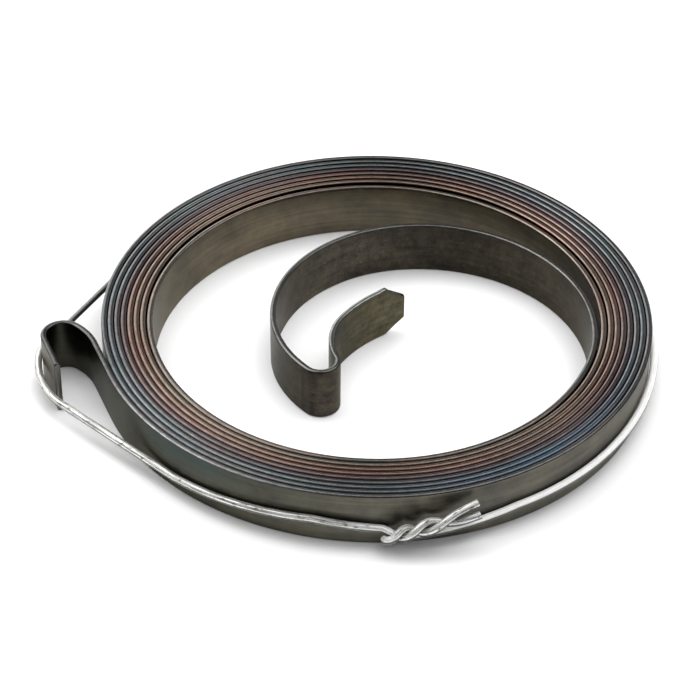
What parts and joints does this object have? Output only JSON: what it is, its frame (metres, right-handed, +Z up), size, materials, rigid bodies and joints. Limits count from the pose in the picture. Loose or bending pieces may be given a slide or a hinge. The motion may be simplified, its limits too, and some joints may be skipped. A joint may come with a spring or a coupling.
{
  "type": "recoil starter spring",
  "caption": "Flat spiral recoil starter spring: a tightly wound steel strip with an outer hook and a loose folded inner tail, kept shut by a twisted wire tie.",
  "frame": {"origin": "centre of the coil, on the plane that its lower edges rest on", "axes": "+Z up along the coil's axis; +X across the coil, away from the outer hook; +Y towards the side where the turns fan out, away from the twisted end of the tie"},
  "size_m": [0.0725, 0.0676, 0.0067],
  "materials": {
    "strip_steel": "hardened strip, dark olive-grey walls, tempered blue to straw-brown on the rolled edges",
    "tie_zinc": "bright zinc coat with drawing scratches"
  },
  "bodies": {
    "root": {"spring": "strip_steel", "tie_wire": "tie_zinc"}
  },
  "joints": []
}
